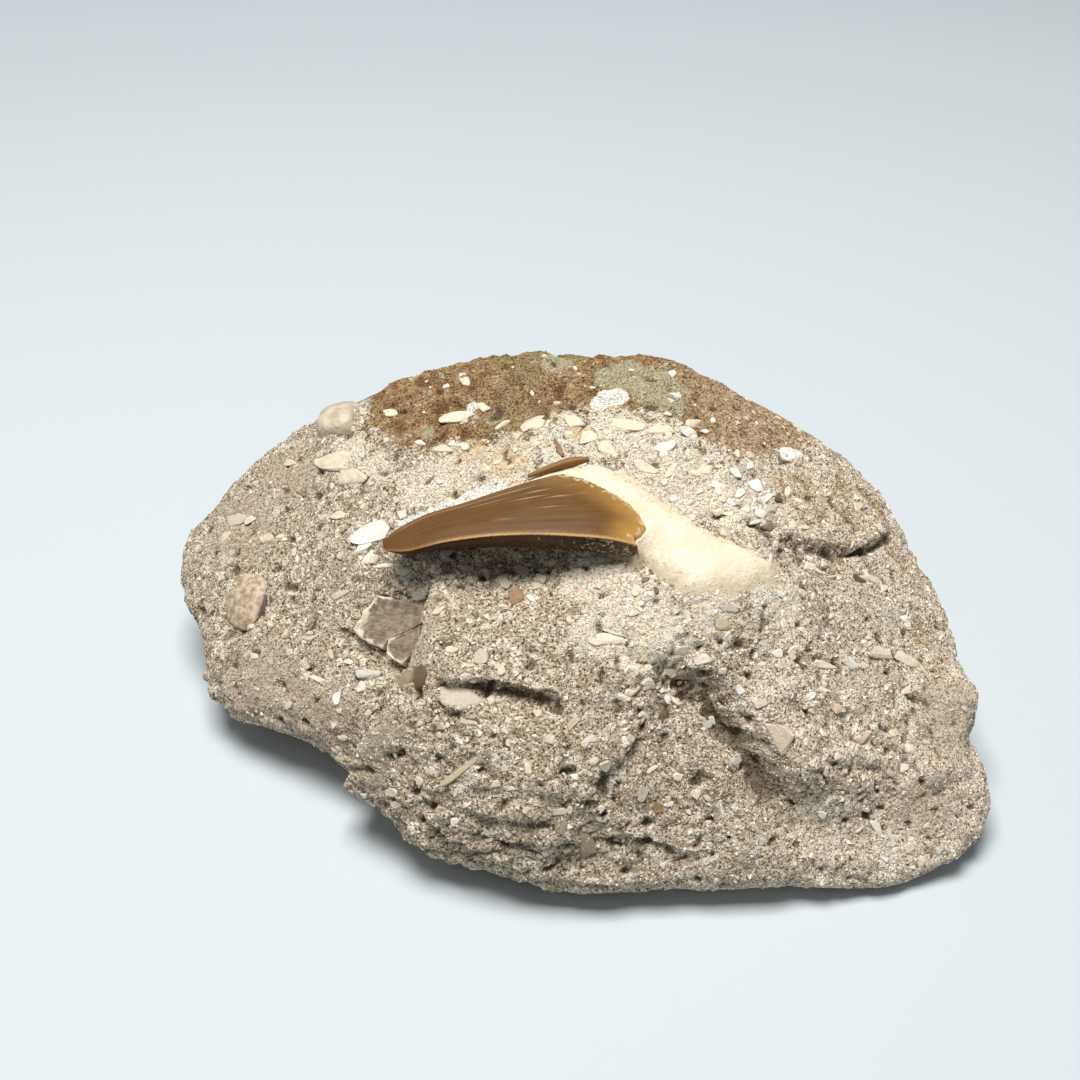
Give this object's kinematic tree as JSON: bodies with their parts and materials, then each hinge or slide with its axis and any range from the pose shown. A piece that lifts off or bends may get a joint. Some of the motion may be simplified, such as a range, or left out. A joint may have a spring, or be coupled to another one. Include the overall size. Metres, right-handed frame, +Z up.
{
  "type": "fossil shark tooth in matrix",
  "caption": "Fossil shark tooth lying free above a lump of sandy phosphate stone, its base held in pale putty; a display ornament that rests on its own flat foot.",
  "frame": {"origin": "middle of the footprint's bounding box, on the surface the stone rests on", "axes": "+X along the stone's length from its low left end to its right corner, +Z up, -Y out of the steep front that the tooth's cutting edge faces"},
  "size_m": [0.1209, 0.0865, 0.0469],
  "materials": {
    "matrix_stone": "rough granular, dry",
    "enamel": "glossy natural tooth enamel",
    "putty": "matt, smoothed by hand",
    "bone": "satin mineralised bone and shell",
    "pebble_stone": "smooth matt"
  },
  "bodies": {
    "root": {"matrix": "matrix_stone", "tooth_crown": "enamel", "tooth_splinter": "enamel", "filler": "putty", "bone_plate_upper": "bone", "bone_plate_lower": "bone", "shell_fragment": "bone", "pebble": "pebble_stone"}
  },
  "joints": []
}
